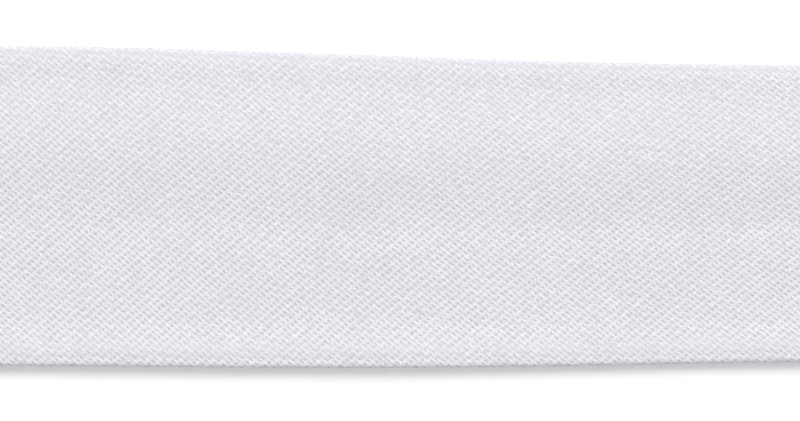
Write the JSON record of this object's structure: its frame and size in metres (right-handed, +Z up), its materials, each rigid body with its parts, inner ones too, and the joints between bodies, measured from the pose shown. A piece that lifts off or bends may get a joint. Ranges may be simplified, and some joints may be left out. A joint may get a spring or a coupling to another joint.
{
  "type": "single-fold bias tape, cut length",
  "caption": "Short cut length of plain-weave bias tape lying flat, with both long edges folded under towards the middle, for binding or facing a cloth edge.",
  "frame": {"origin": "on the surface that the tape lies on, under the middle of its bounding box", "axes": "+X along the tape's length, +Y across its width towards the wider flap's fold, +Z up through the face side"},
  "size_m": [0.06, 0.0208, 0.0024],
  "materials": {
    "cotton_cloth": "matt white plain-weave cotton, cut on the bias"
  },
  "bodies": {
    "root": {"bias_tape": "cotton_cloth"}
  },
  "joints": []
}
